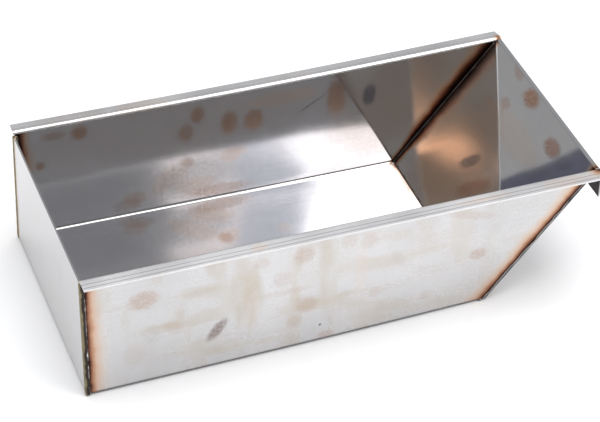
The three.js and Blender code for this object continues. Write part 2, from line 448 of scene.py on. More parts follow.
def make_scratches():
    tree, given, out = group("hair scratches", [("Spot mm", VECTOR, (0, 0, 0)), ("Amount", FLOAT, 1)],
                             [("Mask", FLOAT)])
    total = None
    for turn, stretch in SCRATCH_RUNS:
        turned = add_node(tree, "ShaderNodeVectorRotate", rotation_type="Z_AXIS")
        feed(tree, given["Spot mm"], turned.inputs["Vector"])
        turned.inputs["Angle"].default_value = turn
        lines = grain_noise(tree, vector_sums(tree, "MULTIPLY", turned.outputs[0], stretch), 1.0, 1, 0.5)
        mask = remap(tree, lines, 0.73, 0.80)
        total = mask if total is None else sums(tree, "MAXIMUM", total, mask)
    feed(tree, sums(tree, "MULTIPLY", total, given["Amount"]), out["Mask"])
    return tree


SCRATCHES = make_scratches()

# %% [markdown]
# ## Stains and specks
# Water and mud dry to pale tan patches with firm edges, and grinding leaves specks about half a millimetre
# wide. The patches are clouds of noise cut at a level. The specks are the middles of random cells, kept
# only where a second noise allows, so that they come in loose flocks.

# %% The stain and speck groups
def make_stain():
    tree, given, out = group("dried stains", [("Place mm", VECTOR, (0, 0, 0))], [("Mask", FLOAT)])
    place = given["Place mm"]
    runs = grain_noise(tree, vector_sums(tree, "MULTIPLY", place, (0.055, 0.055, 0.018)), 1.0, 2, 0.45)
    wipes = grain_noise(tree, vector_sums(tree, "MULTIPLY", place, (0.016, 0.016, 0.06)), 1.0, 2, 0.45)
    inner = grain_noise(tree, place, 0.16, 3, 0.6)
    patch = sums(tree, "MAXIMUM", remap(tree, runs, 0.46, 0.72), remap(tree, wipes, 0.48, 0.74))
    texture = remap(tree, inner, 0.30, 0.70, 0.70, 1.0)
    feed(tree, sums(tree, "MULTIPLY", patch, texture), out["Mask"])
    return tree


def make_specks():
    tree, given, out = group("grinding specks", [("Place mm", VECTOR, (0, 0, 0))], [("Mask", FLOAT)])
    cells = add_node(tree, "ShaderNodeTexVoronoi", feature="F1")
    feed(tree, given["Place mm"], cells.inputs["Vector"])
    cells.inputs["Scale"].default_value = 0.13
    size = remap(tree, grain_noise(tree, given["Place mm"], 0.05, 2, 0.5), 0.55, 0.75, 0.0, 0.075, False)
    feed(tree, sums(tree, "LESS_THAN", cells.outputs["Distance"], size), out["Mask"])
    return tree


STAIN = make_stain()
SPECKS = make_specks()

# %% [markdown]
# ## Stainless sheet
# The steel is a metal whose colour is nearly neutral and whose shine is a soft mirror. Each panel gets its
# own material, because its tint follows its own seams and its prints sit where hands have held that panel,
# but all of them are built by one function from the same groups. The layers go on in the order in which
# they came: bare steel, stains, prints, heat tint, thin dark lines, grinding specks. Painted light and shade
# go with them: the outer skin is made lighter or darker on each panel, broad patches among the prints paint
# reflections on the inner skins, a painted shade line runs along the foot, and painted shadow covers the
# hidden face of the lip. A panel has two skins, and a print shows on one of them only, so every print is
# masked by which way the surface faces.

# %% Colours of the steel and of what lies on it
STEEL_BASE = (0.69, 0.675, 0.665)
LINE_DARK = (0.10, 0.085, 0.09, 1)
STAIN_TAN = (0.50, 0.43, 0.32, 1)
# PAINTED_SHADE_DARK is the colour of painted shade: the foot line and the lip's shadowed leg.
PAINTED_SHADE_DARK = (0.050, 0.040, 0.043, 1)
FILM_TINT = (0.985, 0.995, 1.02)  # a handled skin looks a little bluer
MARKS = {  # the colour of each kind of print, and how much rougher the steel is under it
    "brown": ((0.40, 0.22, 0.12, 1), 0.10),
    "blue": ((0.13, 0.14, 0.20, 1), 0.08),
    "grey": ((0.33, 0.33, 0.33, 1), 0.12),
    "tan": ((0.74, 0.50, 0.33, 1), 0.06),
    # film prints are broad patches of painted reflection, not marks on the steel.
    "painted_light": ((0.52, 0.40, 0.31, 1), 0.03),
    "umber": ((0.20, 0.14, 0.125, 1), 0.10),
    "copper": ((0.52, 0.22, 0.10, 1), 0.22),
}


# %% Places and sides on a panel
def in_mm(tree):
    place = add_node(tree, "ShaderNodeTexCoord").outputs["Object"]
    return vector_sums(tree, "SCALE", place, scale=1 / MM)


def square_mm(tree):
    """Where the point lay before the pan was bent by hand, in millimetres. Both skins of a sheet share it."""
    return add_node(tree, "ShaderNodeAttribute", attribute_name="square_place").outputs["Vector"]


def side_mask(tree, outward):
    """1 on faces that look outward and 0 on faces that look the other way."""
    normal = add_node(tree, "ShaderNodeNewGeometry").outputs["True Normal"]
    return remap(tree, vector_sums(tree, "DOT_PRODUCT", normal, tuple(outward)), -0.05, 0.05)


def flat_place(tree, place, along, up, origin):
    """The position in the panel's own plane, as along and up from an origin."""
    from_origin = vector_sums(tree, "SUBTRACT", place, tuple(v / MM for v in origin))
    join = add_node(tree, "ShaderNodeCombineXYZ")
    feed(tree, vector_sums(tree, "DOT_PRODUCT", from_origin, tuple(along)), join.inputs[0])
    feed(tree, vector_sums(tree, "DOT_PRODUCT", from_origin, tuple(up)), join.inputs[1])
    return join.outputs[0]


def plane_distance(tree, place, origin, inward):
    from_origin = vector_sums(tree, "SUBTRACT", place, tuple(v / MM for v in origin))
    return vector_sums(tree, "DOT_PRODUCT", from_origin, tuple(inward))


def point_distance(tree, place, origin):
    return vector_sums(tree, "DISTANCE", place, tuple(v / MM for v in origin))


# %% Layers: bare steel, stains and prints
def lay_over(tree, finish, mask, colour, rougher=0.0):
    """Covers a finish, which is a colour and a roughness, where the mask is 1."""
    under, roughness = finish
    if rougher > 0:
        roughness = sums(tree, "ADD", roughness, sums(tree, "MULTIPLY", mask, rougher))
    return mix_colour(tree, mask, under, colour), roughness


def bare_steel(tree, grain, scratch, outside, inside, shine, painted_light, inner_tint):
    outer_rough, inner_rough = shine
    shade = remap(tree, grain["Shade"], 0.3, 0.7, 0.92, 1.03)
    colour = vector_sums(tree, "SCALE", STEEL_BASE, scale=shade)
    # Painted light and shade: film makes each panel's outer skin lighter or darker.
    painted_light_level = sums(tree, "ADD", inside, sums(tree, "MULTIPLY", outside, painted_light))
    colour = vector_sums(tree, "SCALE", colour, scale=painted_light_level)
    colour = mix_colour(tree, outside, vector_sums(tree, "MULTIPLY", colour, inner_tint),
                        vector_sums(tree, "MULTIPLY", colour, FILM_TINT))
    rough = sums(tree, "ADD", sums(tree, "MULTIPLY", outside, outer_rough),
                 sums(tree, "MULTIPLY", inside, inner_rough))
    roughness = sums(tree, "MULTIPLY", rough, remap(tree, grain["Rough"], 0.3, 0.7, 0.88, 1.18))
    roughness = sums(tree, "ADD", roughness, sums(tree, "MULTIPLY", scratch, 0.10))
    return colour, roughness


def lay_stains(tree, finish, place, along_pan, outside, strength):
    """Dried stains on the outer skin, fewer towards the sloped end."""
    patch = sums(tree, "MULTIPLY", place_group(tree, STAIN, Place_mm=place)["Mask"], outside)
    fading = remap(tree, along_pan, -40, 130, strength, strength * 0.35)
    return lay_over(tree, finish, sums(tree, "MULTIPLY", patch, fading), STAIN_TAN, 0.2)


def lay_prints(tree, finish, spot, prints, outside, inside):
    for x, y, wide, high, turn, strength, kind, is_outside in prints:
        mark = place_group(tree, PRINT, Spot_mm=spot, Centre=(x, y, 0), Half_size=(wide, high, 1),
                           Turn=turn, Strength=strength)
        mask = sums(tree, "MULTIPLY", mark["Mask"], outside if is_outside else inside)
        finish = lay_over(tree, finish, mask, *MARKS[kind])
    return finish


# %% Layers: heat, lines, specks and painted shade
def lay_tints(tree, finish, place, height, seams):
    for kind, seam_origin, inward, reach, burn, strength in seams:
        if kind == "point":
            distance = point_distance(tree, place, seam_origin)
        else:
            distance = plane_distance(tree, place, seam_origin, inward)
        if kind == "rising line":
            reach = remap(tree, height, 2, 60, reach * 0.3, reach)
        tint = place_group(tree, TINT, Distance_mm=distance, Place_mm=place, Reach=reach, Burn=burn,
                           Strength=strength)
        finish = lay_over(tree, finish, tint["Mask"], tint["Colour"], 0.10)
    return finish


def lay_lines(tree, finish, across_pan, lines):
    for y, half_width, strength in lines:
        off = sums(tree, "ABSOLUTE", sums(tree, "SUBTRACT", across_pan, y))
        mask = remap(tree, off, half_width * 0.4, half_width, strength, 0.0)
        finish = lay_over(tree, finish, mask, LINE_DARK)
    return finish


def lay_foot_shade_and_specks(tree, finish, place, height, outside, foot):
    """A painted shade line along the foot of the outer skin, for the contact shadow under the fold, and
    grinding specks everywhere.
    """
    if foot > 0:
        line = sums(tree, "MULTIPLY", outside, remap(tree, height, 1.3, 3.4, foot, 0.0))
        finish = lay_over(tree, finish, line, PAINTED_SHADE_DARK)
    speck = place_group(tree, SPECKS, Place_mm=place)["Mask"]
    return lay_over(tree, finish, sums(tree, "MULTIPLY", speck, 0.8), LINE_DARK)


def lay_painted_shadow(tree, finish, height, facing, below):
    """Painted shadow on the faces that look one way and lie under a height."""
    hidden = sums(tree, "LESS_THAN", height, below)
    mask = sums(tree, "MULTIPLY", sums(tree, "MULTIPLY", side_mask(tree, facing), hidden), 0.97)
    return lay_over(tree, finish, mask, PAINTED_SHADE_DARK, 0.15)


def leaning_normal(tree, normal, inside, along_pan, lean):
    """Tips the inner skin's shading normal, for the belly that a thin plate has."""
    direction, near_lean, far_lean = lean
    amount = remap(tree, along_pan, -170, 120, near_lean, far_lean, False)
    push = vector_sums(tree, "SCALE", tuple(direction), scale=sums(tree, "MULTIPLY", inside, amount))
    return vector_sums(tree, "NORMALIZE", vector_sums(tree, "ADD", normal, push))


# %% A function that builds the steel of one panel
def steel(name, along, up, origin, outward=None, prints=(), seams=(), lines=(), rough=0.17, inner=0.17,
          painted_light=1.0, inner_tint=(1, 1, 1), stains=0.0, foot=0.0, leg_shadow=None, lean=None):
    """prints: (along, up, half width, half height, turn, strength, kind, outside).
    seams: (kind, origin, inward, reach, burn, strength). A rising line spreads further from its seam
    with height, because the thin foot of the corner cools fastest. lines: (y, half width, strength).
    rough and inner are the roughness of the outer and the inner skin. film lightens or darkens the outer skin
    as painted light and shade, and inner_tint colours the inner skin. stains is how strong the outer stains
    are, and foot how strong the painted shade line along the outer skin's foot is.
    smoke: (facing, below). lean: (direction, radians at the upright end, radians at the sloped end)."""
    material = bpy.data.materials.new(name)
    material.use_nodes = True
    tree = material.node_tree
    shader = tree.nodes["Principled BSDF"]
    shader.inputs["Metallic"].default_value = 0.95
    place = square_mm(tree)
    spot = flat_place(tree, place, along, up, origin)
    axes = add_node(tree, "ShaderNodeSeparateXYZ")
    feed(tree, place, axes.inputs[0])
    along_pan, across_pan, height = axes.outputs
    outside = 1.0 if outward is None else side_mask(tree, outward)
    inside = sums(tree, "SUBTRACT", 1.0, outside)
    grain = place_group(tree, GRAIN, Place_mm=place)
    scratch = place_group(tree, SCRATCHES, Spot_mm=spot, Amount=0.5)["Mask"]

    finish = bare_steel(tree, grain, scratch, outside, inside, (rough, inner), painted_light, inner_tint)
    if stains > 0:
        finish = lay_stains(tree, finish, place, along_pan, outside, stains)
    finish = lay_prints(tree, finish, spot, prints, outside, inside)
    finish = lay_tints(tree, finish, place, height, seams)
    finish = lay_lines(tree, finish, across_pan, lines)
    finish = lay_foot_shade_and_specks(tree, finish, place, height, outside, foot)
    if leg_shadow is not None:
        finish = lay_painted_shadow(tree, finish, height, *leg_shadow)
    colour, roughness = finish
    feed(tree, colour, shader.inputs["Base Color"])
    feed(tree, roughness, shader.inputs["Roughness"])

    bump = add_node(tree, "ShaderNodeBump")
    bump.inputs["Strength"].default_value = 0.05
    bump.inputs["Distance"].default_value = 0.04 * MM
    scratched = sums(tree, "SUBTRACT", grain["Height"], sums(tree, "MULTIPLY", scratch, 0.6))
    feed(tree, scratched, bump.inputs["Height"])
    normal = bump.outputs[0]
    if lean is not None:
        normal = leaning_normal(tree, normal, inside, along_pan, lean)
    feed(tree, normal, shader.inputs["Normal"])
    print("mixed", name, "with", len(prints), "prints and", len(seams), "seams")
    return material


# %% [markdown]
# ## Where hands and heat have been
# The prints are listed for each panel in millimetres, as a maker would point them out with a rule: along
# the pan from its middle, and up from the bench. A thumb print is about 12 mm wide. The seams are planes
# that a weld runs along, with the direction in which the heat went.

# %% Prints and seams
FRONT_PRINTS = [
    (-137, 67, 12, 8, -0.1, 0.55, "brown", True), (-89, 30, 4.4, 11, 0.7, 0.95, "umber", True),
    (-133, 38, 8, 9, 0.0, 0.18, "grey", True), (-144, 25, 9, 10, 0.0, 0.16, "brown", True),
    (-118, 40, 8, 6, 0.5, 0.22, "brown", True), (-30, 75, 8, 8, 0.5, 0.40, "brown", True),
    (-58, 76, 6, 5, 0.0, 0.22, "brown", True), (-44, 59, 8, 7, 0.0, 0.20, "brown", True),
    (-28, 34, 9, 8, 0.3, 0.34, "brown", True), (-36, 22, 6, 6, 0.0, 0.30, "brown", True),
    (-14, 5, 7, 3.6, 0.0, 0.36, "brown", True), (1, 79, 7, 7, 0.0, 0.22, "brown", True),
    (15, 75, 7, 7, 0.0, 0.22, "brown", True), (21, 31, 6, 5, 0.0, 0.18, "brown", True),
    (85, 78, 22, 4, 0.30, 0.22, "brown", True), (93, 43, 7, 5.5, 0.0, 0.45, "brown", True),
    (57, 17, 6, 4.5, 0.0, 0.20, "brown", True), (36, 55, 4, 9, -0.5, 0.16, "grey", True),
    (-66, 45, 6, 22, 0.0, 0.12, "tan", True), (10, 52, 5, 24, 0.0, 0.12, "tan", True),
    (-42, 48, 24, 3, 0.0, 0.16, "brown", True), (-18, 14, 1.3, 1.3, 0.0, 0.9, "blue", True),
    # The two broad grey patches on this line and the next darken large areas of the outer skin.
    (-120, 45, 75, 50, 0.0, 0.16, "grey", True),
    (118, 74, 44, 22, 0.0, 0.16, "grey", True),
]
BACK_PRINTS = [
    # The first four, broad film and grey patches on the inner skin, are painted reflection: they brown and
    # darken what the mirror-like wall shows.
    (84, 52, 42, 46, 0.0, 0.45, "painted_light", False), (-60, 72, 120, 30, 0.0, 0.32, "painted_light", False),
    (-130, 22, 75, 26, 0.0, 0.55, "grey", False), (-50, 24, 32, 18, 0.0, 0.50, "grey", False),
    (-132, 83, 7, 7, 0.0, 0.95, "brown", False),
    (-160, 60, 4.5, 4.5, 0.0, 0.85, "brown", False), (-49, 79, 6, 9, 0.0, 0.90, "brown", False),
    (-57, 65, 7, 9, 0.0, 0.75, "brown", False), (-26, 67, 7, 12, 0.0, 1.0, "brown", False),
    (-8, 65, 8.5, 11, 0.0, 1.0, "brown", False), (53, 70, 8.5, 19, -0.1, 1.0, "brown", False),
    (78, 67, 6, 10.5, 0.0, 0.90, "blue", False), (-94, 15, 10, 7, 0.0, 0.45, "brown", False),
    (-24, 38, 9, 8, 0.0, 0.45, "tan", False), (-32, 8, 26, 6, 0.0, 0.50, "brown", False),
    (14, 80, 30, 7, 0.0, 0.45, "tan", False), (34, 69, 14, 0.8, -0.55, 0.75, "blue", False),
    (-150, 84, 10, 4, 0.0, 0.6, "brown", False),
    (60, 50, 9, 5, 0.1, 0.35, "brown", True), (-70, 42, 7, 8, 0.0, 0.35, "brown", True),
    (-10, 30, 6, 8, 0.4, 0.30, "grey", True), (-140, 66, 8, 7, 0.0, 0.30, "brown", True),
]
SLOPE_PRINTS = [
    (112, 13, 7, 11, 0.0, 0.95, "copper", False), (117, 40, 5, 9, 0.3, 0.45, "copper", False),
    (95, 30, 5, 7, 0.0, 0.45, "copper", False), (103, -34, 6.5, 11, 0.0, 0.80, "copper", False),
    (86, 43, 4, 6, 0.0, 0.35, "copper", False), (103, -52, 10, 6, 0.8, 0.45, "blue", False),
    # The broad film patch and the long tan band below are painted reflection on the inner skin: the brown and
    # the tan glow that it mirrors.
    (40, 36, 50, 42, 0.0, 0.60, "painted_light", False), (86, 2, 13, 42, 0.0, 0.28, "tan", False),
    (108, -5, 12, 40, 0.0, 0.05, "blue", False),
    (84, -40, 12, 5, 0.4, 0.40, "blue", False), (60, 10, 6, 7, 0.0, 0.30, "brown", True),
    (30, -30, 7, 6, 0.0, 0.30, "brown", True),
]
FLOOR_PRINTS = [
    (-96, 70, 14, 7, 0.2, 0.40, "brown", False), (-44, 62, 18, 9, 0.2, 0.35, "tan", False),
    (-42, 36, 6, 6.5, 0.0, 0.50, "brown", False), (0, 34, 6, 6, 0.0, 0.30, "tan", False),
    (-60, 50, 10, 24, -0.9, 0.30, "tan", False), (-30, 0, 9, 7, 0.0, 0.30, "brown", True),
]
UPRIGHT_PRINTS = [
    (20, 40, 9, 7, 0.0, 0.10, "grey", True), (-30, 60, 7, 8, 0.0, 0.10, "grey", True),
]

ALONG_X, ALONG_Y, UP_Z = (1, 0, 0), (0, 1, 0), (0, 0, 1)
BEAD_EDGE = 1.6 * MM  # how far a slope bead covers the sheet beside its seam
upright_line = (UPRIGHT_X + 2.1 * MM, 0, 0)
upright_seam = ("line", upright_line, ALONG_X, 1.3, 0.80, 1.0)
burnt_upright_seam = ("line", upright_line, ALONG_X, 1.2, 1.3, 1.0)
slope_corner = (FOLD_X, 0, 0)
slope_edge = tuple(Vector(slope_corner) - UNDERSIDE * BEAD_EDGE * 0.6)
slope_seam = ("line", slope_edge, tuple(-UNDERSIDE), 1.25, 0.95, 1.0)
burnt_slope_seam = ("rising line", slope_edge, tuple(-UNDERSIDE), 1.35, 1.7, 1.0)
front_seam = ("line", (0, FRONT_Y + BEAD_EDGE, 0), (0, 1, 0), 0.22, 0.8, 0.7)
back_seam = ("line", (0, BACK_Y - BEAD_EDGE, 0), (0, -1, 0), 0.5, 0.8, 0.9)
slope_front_seam = ("line", (0, FRONT_Y + BEAD_EDGE, 0), (0, 1, 0), 0.8, 1.2, 1.0)
slope_back_seam = ("line", (0, BACK_Y - BEAD_EDGE * 0.6, 0), (0, -1, 0), 0.75, 1.25, 0.95)
rim_front_spot = ("point", (rim_x, FRONT_Y, RIM_Z), None, 1.0, 1.0, 1.0)
rim_back_spot = ("point", (rim_x, BACK_Y, RIM_Z), None, 0.45, 1.0, 1.0)
upright_front_spot = ("point", (UPRIGHT_X, FRONT_Y, UPRIGHT_TOP), None, 0.30, 1.0, 0.7)
upright_back_spot = ("point", (UPRIGHT_X, BACK_Y, UPRIGHT_TOP), None, 0.40, 1.0, 0.8)
# The dark band along the sloped end's fold is painted shade of the tight fold, with a thin brown tint, laid
# through the heat tint group.
slope_fold_shade = ("line", tuple(Vector(slope_corner) + RISE * MM), tuple(RISE), 0.12, 1.0, 0.75)
SLOPE_LEAN = 0.08  # the sloped end bellies, so the middle of it faces a little further up than its edges do
floor_corners = [
    ("point", (x, y, 0), None, reach, 0.7, 0.8)
    for x, y, reach in ((UPRIGHT_X, FRONT_Y, 0.5), (UPRIGHT_X, BACK_Y, 0.5), (FOLD_X, FRONT_Y, 0.2),
                        (FOLD_X, BACK_Y, 0.14))
]
BACK_FLANGE_PRINTS = [
    (-88, 83, 22, 9, 0.0, 0.30, "tan", True), (-35, 83, 26, 9, 0.0, 0.04, "blue", True),
    (-136, 83, 30, 9, 0.0, 0.16, "brown", True),
    (20, 83, 16, 7, 0.0, 0.10, "tan", True), (120, 83, 24, 8, 0.0, 0.06, "brown", True),
]
FRONT_FLANGE_PRINTS = [
    (-62, -84, 7, 4, 0.0, 0.35, "tan", True), (92, -84, 22, 3, 0.0, 0.35, "tan", True),
    (150, -84, 20, 6, 0.0, 0.30, "tan", True),
]
front_lines = [((FRONT_Y - FRONT_FLANGE * part) / MM, 0.24, 0.85) for part in (0.45, 0.78)]
back_lines = [((BACK_Y + BACK_FLANGE * 0.30) / MM, 0.25, 0.5)]

# %% The panels' steels
# film lightens or darkens each panel's outer skin as painted light and shade, and foot sets how strong the
# painted shade line along its foot is.
front_steel = steel("front wall steel", ALONG_X, UP_Z, (0, 0, 0), (0, -1, 0), FRONT_PRINTS,
                    [upright_seam, slope_seam], rough=0.24, inner=0.08, painted_light=0.90, stains=0.60, foot=0.9)
back_steel = steel("back wall steel", ALONG_X, UP_Z, (0, 0, 0), (0, 1, 0), BACK_PRINTS,
                   [burnt_upright_seam, burnt_slope_seam], rough=0.24, inner=0.065, painted_light=0.92, stains=0.22,
                   foot=0.8, lean=(UP_Z, 0.047, 0.013))
upright_steel = steel("upright end steel", ALONG_Y, UP_Z, (0, 0, 0), (-1, 0, 0), UPRIGHT_PRINTS,
                      [front_seam, back_seam], rough=0.22, inner=0.08, painted_light=0.90, stains=0.06, foot=0.6)
slope_steel = steel("sloped end steel", RISE, ALONG_Y, slope_corner, UNDERSIDE, SLOPE_PRINTS,
                    [slope_front_seam, slope_back_seam, slope_fold_shade], rough=0.22, inner=0.035, painted_light=0.95,
                    stains=0.15, lean=(RISE, SLOPE_LEAN, SLOPE_LEAN))
floor_steel = steel("floor steel", ALONG_X, ALONG_Y, (0, 0, 0), (0, 0, -1), FLOOR_PRINTS,
                    floor_corners, rough=0.24, inner=0.07, painted_light=0.95, inner_tint=(0.98, 1.0, 1.07),
                    stains=0.15)
front_flange_steel = steel("front flange steel", ALONG_X, ALONG_Y, (0, 0, 0), None, FRONT_FLANGE_PRINTS,
                           [rim_front_spot, upright_front_spot], front_lines, rough=0.38, painted_light=1.08)
back_flange_steel = steel("back flange steel", ALONG_X, ALONG_Y, (0, 0, 0), None, BACK_FLANGE_PRINTS,
                          [rim_back_spot, upright_back_spot], back_lines, rough=0.30, painted_light=1.25, stains=0.20)
# The hanging leg's inner face below the roll gets painted shadow through smoke.
lip_steel = steel("lip steel", ALONG_Y, UP_Z, (0, 0, 0), None, (), [rim_front_spot, rim_back_spot],
                  rough=0.09, leg_shadow=((-1, 0, 0), rim_roll_z / MM))

# %% [markdown]
# ## Weld metal
# The beads are rippled, oxidised steel. Round the bead the colour changes: olive brown scale on one side of
# it, dark grey on the other, and a thin painted highlight along the bead's edge, where it turns into the
# sheet. Each bead carries two values on its points, how far round it they lie and how far along, so the
# colours can follow it round any corner.

# %% The weld material
RIPPLE_PITCH = 1.4  # millimetres from one crescent to the next


def weld(name, stops, scale_colour=(0.30, 0.24, 0.13)):
    """stops: colours round the bead, from the end panel's side to the wall's side."""
    material = bpy.data.materials.new(name)
    material.use_nodes = True
    tree = material.node_tree
    shader = tree.nodes["Principled BSDF"]
    shader.inputs["Metallic"].default_value = 1.0
    place = in_mm(tree)
    round_it = add_node(tree, "ShaderNodeAttribute", attribute_name="round_bead").outputs["Fac"]
    along = add_node(tree, "ShaderNodeAttribute", attribute_name="along_bead").outputs["Fac"]
    waver = sums(tree, "MULTIPLY", sums(tree, "SUBTRACT", grain_noise(tree, place, 0.16, 2, 0.5), 0.5), 0.22)
    colour = ramp(tree, sums(tree, "ADD", round_it, waver), stops)
    crescent = sums(tree, "SINE", sums(tree, "MULTIPLY", along, 2 * math.pi / RIPPLE_PITCH))
    crescent = remap(tree, crescent, -1.0, 1.0, 0.66, 1.18)
    colour = vector_sums(tree, "SCALE", colour, scale=crescent)
    crust = remap(tree, grain_noise(tree, place, 1.3, 4, 0.65), 0.62, 0.72, 0.0, 0.6)
    colour = mix_colour(tree, crust, colour, (*scale_colour, 1))
    feed(tree, colour, shader.inputs["Base Color"])
    feed(tree, remap(tree, crust, 0.0, 0.6, 0.33, 0.5), shader.inputs["Roughness"])
    bump = add_node(tree, "ShaderNodeBump")
    bump.inputs["Strength"].default_value = 0.35
    bump.inputs["Distance"].default_value = 0.0002
    feed(tree, grain_noise(tree, place, 2.2, 3, 0.6), bump.inputs["Height"])
    feed(tree, bump.outputs[0], shader.inputs["Normal"])
    print("mixed", name)
    return material


OLIVE, OLIVE_DARK, IRON = (0.24, 0.20, 0.12), (0.10, 0.08, 0.05), (0.10, 0.10, 0.11)
# PAINTED_HIGHLIGHT is a painted highlight: a light band where the bead's edge turns into the sheet.
PAINTED_HIGHLIGHT, BLACK = (0.95, 0.95, 0.97), (0.012, 0.009, 0.010)
SOOT = (0.045, 0.038, 0.034)
upright_weld = weld("upright weld metal", [(0.0, OLIVE_DARK), (0.30, OLIVE), (0.51, OLIVE), (0.55, SOOT),
                                           (0.66, SOOT), (0.675, PAINTED_HIGHLIGHT), (0.745, PAINTED_HIGHLIGHT), (0.765, BLACK)])
# PAINTED_SOFT_HIGHLIGHT is a softer painted highlight on the outer face of the sloped end's beads.
ROOT, PAINTED_SOFT_HIGHLIGHT = (0.20, 0.17, 0.16), (0.52, 0.48, 0.46)
slope_weld = weld("slope weld metal", [(0.0, ROOT), (0.08, BLACK), (0.36, ROOT), (0.50, IRON), (0.615, BLACK),
                                       (0.645, PAINTED_SOFT_HIGHLIGHT), (0.67, PAINTED_SOFT_HIGHLIGHT), (0.69, BLACK), (0.95, BLACK)],
                  (0.10, 0.07, 0.05))
small_weld = weld("small weld metal", [(0.0, (0.30, 0.27, 0.24)), (1.0, (0.16, 0.13, 0.11))])

# %% [markdown]
# ## The long walls
# Each long wall is a flat sheet cut along the slope at one end and folded in at its foot. A grid is laid
# where the wall stands, cut by the plane of the sloped end, and its lowest row is rolled round the fold as
# a folding bar would do it. Drawing the outline as a polygon would be shorter, but the grid can be rippled.

# %% Front and back walls
QUARTER = math.pi / 2
sides = {"front": (-1, FRONT_Y), "back": (1, BACK_Y)}  # which way each long side faces, and where it stands
wall_steels = {"front": front_steel, "back": back_steel}


def make_wall(name, out, face_y, material):
    near_x = UPRIGHT_X + BEAD_SETBACK
    bm = skin(74, 20, lambda u, v: Vector((near_x + u * (LIP_X - near_x), face_y,
                                            FOLD + v * (WALL_TOP - FOLD))))
    cut_at = Vector((FOLD_X, 0, 0)) - UNDERSIDE * BEAD_SETBACK
    bmesh.ops.bisect_plane(bm, geom=bm.verts[:] + bm.edges[:] + bm.faces[:], dist=0.001 * MM,
                           plane_co=cut_at, plane_no=UNDERSIDE, clear_outer=True)
    face_outwards(bm, Vector((0, out, 0)))
    ripple(bm)
    foot = edges_where(bm, lambda co: abs(co.z - FOLD) < 0.01 * MM)
    roll(bm, foot, (0, face_y - out * FOLD, FOLD), (out, 0, 0), -QUARTER)
    face_outwards(bm, Vector((0, out, 0)))
    thicken(new_piece(f"{name}_wall_sheet", bm, f"{name}_wall", material))


for name, (out, face_y) in sides.items():
    make_wall(name, out, face_y, wall_steels[name])

# %% [markdown]
# ## The flanges
# Along each long rim the sheet turns outward through a tight fold into a flat flange. The flange is laid
# flat first, and the row next to the wall is rolled down to meet the wall's top row, so the two join
# without a step. Its far end is cut a little out of square, as snips leave it.

# %% Front and back flanges
SNIP = 1.6 * MM
EASE_ROOM = 0.03 * MM  # room for the eased corners inside the lip's face


def make_flange(name, out, face_y, width, material):
    inner_y = face_y + out * FLANGE_FOLD
    outer_y = face_y + out * width

    def place(u, v):
        far_x = LIP_X - EASE_ROOM - SNIP * v
        return Vector((UPRIGHT_X + u * (far_x - UPRIGHT_X), inner_y + v * (outer_y - inner_y), RIM_Z - SHEET))

    bm = skin(74, 3, place)
    face_outwards(bm, Vector((0, 0, -1)))
    inner = edges_where(bm, lambda co: abs(co.y - inner_y) < 0.01 * MM)
    roll(bm, inner, (0, inner_y, WALL_TOP), (out, 0, 0), QUARTER)
    face_outwards(bm, Vector((0, out, -1)))
    thicken(new_piece(f"{name}_flange_sheet", bm, f"{name}_flange", material))


flanges = {"front": (FRONT_FLANGE, front_flange_steel), "back": (BACK_FLANGE, back_flange_steel)}
for name, (out, face_y) in sides.items():
    make_flange(name, out, face_y, *flanges[name])

# %% [markdown]
# ## The floor and the two ends
# The floor is flat between the folds. The upright end stands on a square fold, and the sloped end on an
# open one, so its fold is rolled through the slope's angle only. Each end owns the fold at its own foot, as
# each wall does.

# %% Floor
OPEN_FOLD = END_FOLD * math.tan(SLOPE / 2)  # the open fold takes this much of the floor and of the slope


def make_floor():
    near_x, far_x = UPRIGHT_X + END_FOLD, FOLD_X - OPEN_FOLD
    near_y, far_y = FRONT_Y + FOLD, BACK_Y - FOLD
    bm = skin(56, 32, lambda u, v: Vector((near_x + u * (far_x - near_x), near_y + v * (far_y - near_y), 0)))
    face_outwards(bm, Vector((0, 0, -1)))
    thicken(new_piece("floor_sheet", bm, "floor_panel", floor_steel))


make_floor()


# %% Upright end
def make_upright():
    near_y, far_y = FRONT_Y + BEAD_SETBACK, BACK_Y - BEAD_SETBACK
    bm = skin(32, 18, lambda u, v: Vector((UPRIGHT_X, near_y + u * (far_y - near_y),
                                            END_FOLD + v * (UPRIGHT_TOP - END_FOLD))))
    face_outwards(bm, Vector((-1, 0, 0)))
    ripple(bm)
    foot = edges_where(bm, lambda co: abs(co.z - END_FOLD) < 0.01 * MM)
    roll(bm, foot, (UPRIGHT_X + END_FOLD, 0, END_FOLD), (0, 1, 0), -QUARTER)
    face_outwards(bm, Vector((-1, 0, 0)))
    thicken(new_piece("upright_end_sheet", bm, "upright_end", upright_steel))


make_upright()


# %% Sloped end
SLOPE_LENGTH = math.sqrt((rim_x - FOLD_X) ** 2 + rim_roll_z ** 2 - (RIM_ROLL - SHEET) ** 2)


def make_slope():
    near_y, far_y = FRONT_Y + BEAD_SETBACK, BACK_Y - BEAD_SETBACK
    corner = Vector((FOLD_X, 0, 0))

    def place(u, v):
        up = OPEN_FOLD + v * (SLOPE_LENGTH - OPEN_FOLD)
        return corner + RISE * up + Vector((0, near_y + u * (far_y - near_y), 0))

    bm = skin(32, 24, place)
    face_outwards(bm, UNDERSIDE)
    ripple(bm)
    foot_z = (RISE * OPEN_FOLD).z
    foot = edges_where(bm, lambda co: abs(co.z - foot_z) < 0.01 * MM)
    roll(bm, foot, (FOLD_X - OPEN_FOLD, 0, END_FOLD), (0, 1, 0), SLOPE, steps=6)
    face_outwards(bm, UNDERSIDE)
    thicken(new_piece("sloped_end_sheet", bm, "sloped_end", slope_steel))


make_slope()

